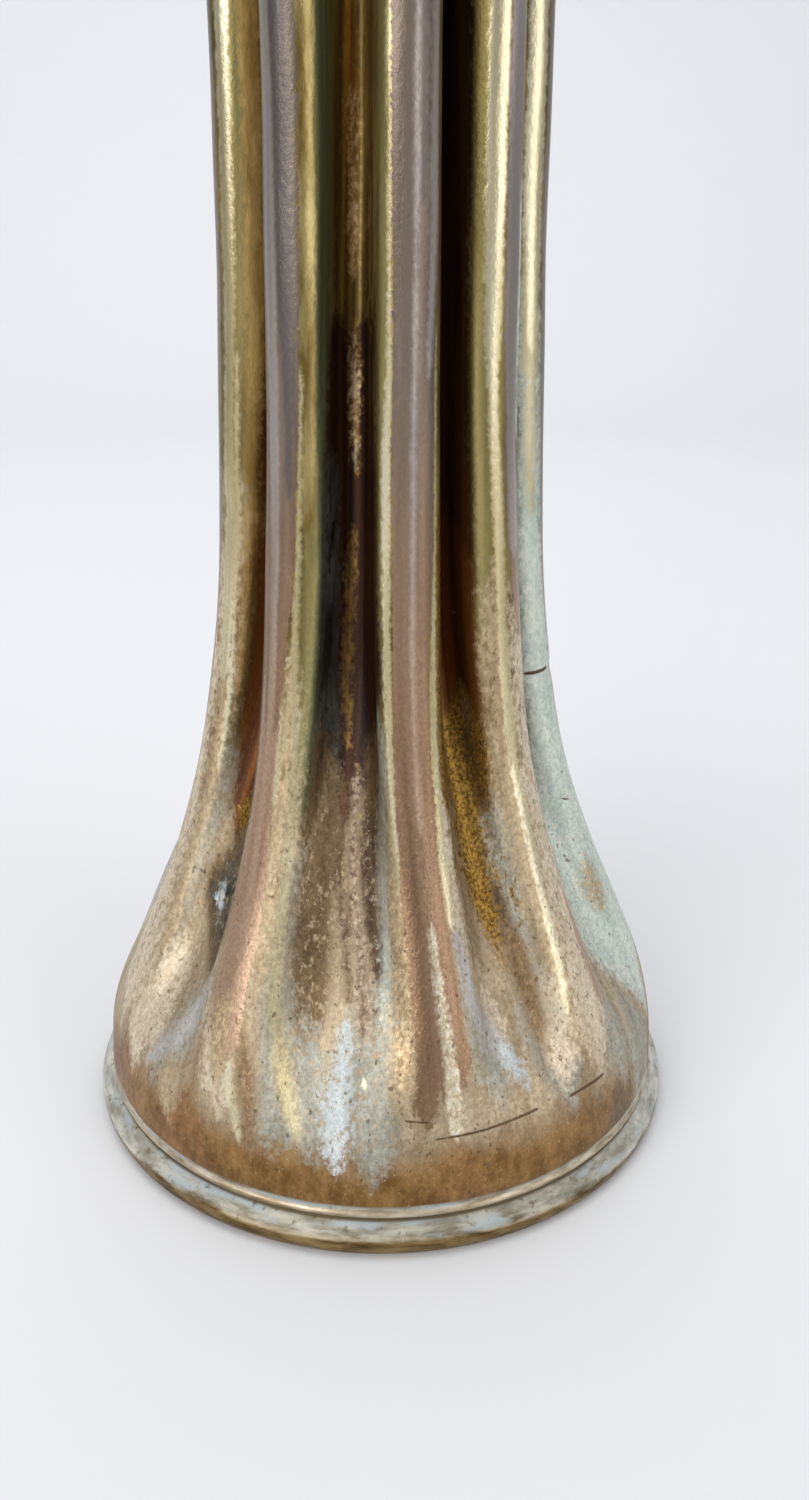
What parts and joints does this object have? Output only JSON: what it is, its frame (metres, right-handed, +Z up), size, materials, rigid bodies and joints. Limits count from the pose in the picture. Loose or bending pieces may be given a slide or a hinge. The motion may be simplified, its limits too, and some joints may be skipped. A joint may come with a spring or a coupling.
{
  "type": "fluted vase",
  "caption": "Fluted, narrow-waisted brass vase hammered from a spent cartridge case: rimmed foot, deep upright flutes, flared scalloped mouth, fired primer in the base.",
  "frame": {"origin": "middle of the base's underside, on the vase's axis", "axes": "+Z up the vase's axis to the mouth, -Y the side seen from the front"},
  "size_m": [0.0874, 0.0874, 0.34],
  "materials": {
    "aged_brass": "semi-gloss brass with mauve-brown tarnish film on the ribs, worn gold edges and black, green and pale blue corrosion in the flutes",
    "primer_brass": "turned brass, dull and dark with age",
    "cap_copper": "brown tarnished copper, dented by the firing pin",
    "anvil_brass": "powder-stained brass",
    "plug_brass": "burnt, sooty brass"
  },
  "bodies": {
    "root": {"vase_body": "aged_brass", "primer_body": "primer_brass", "percussion_cap": "cap_copper", "cap_anvil": "anvil_brass", "flash_plug": "plug_brass"}
  },
  "joints": []
}
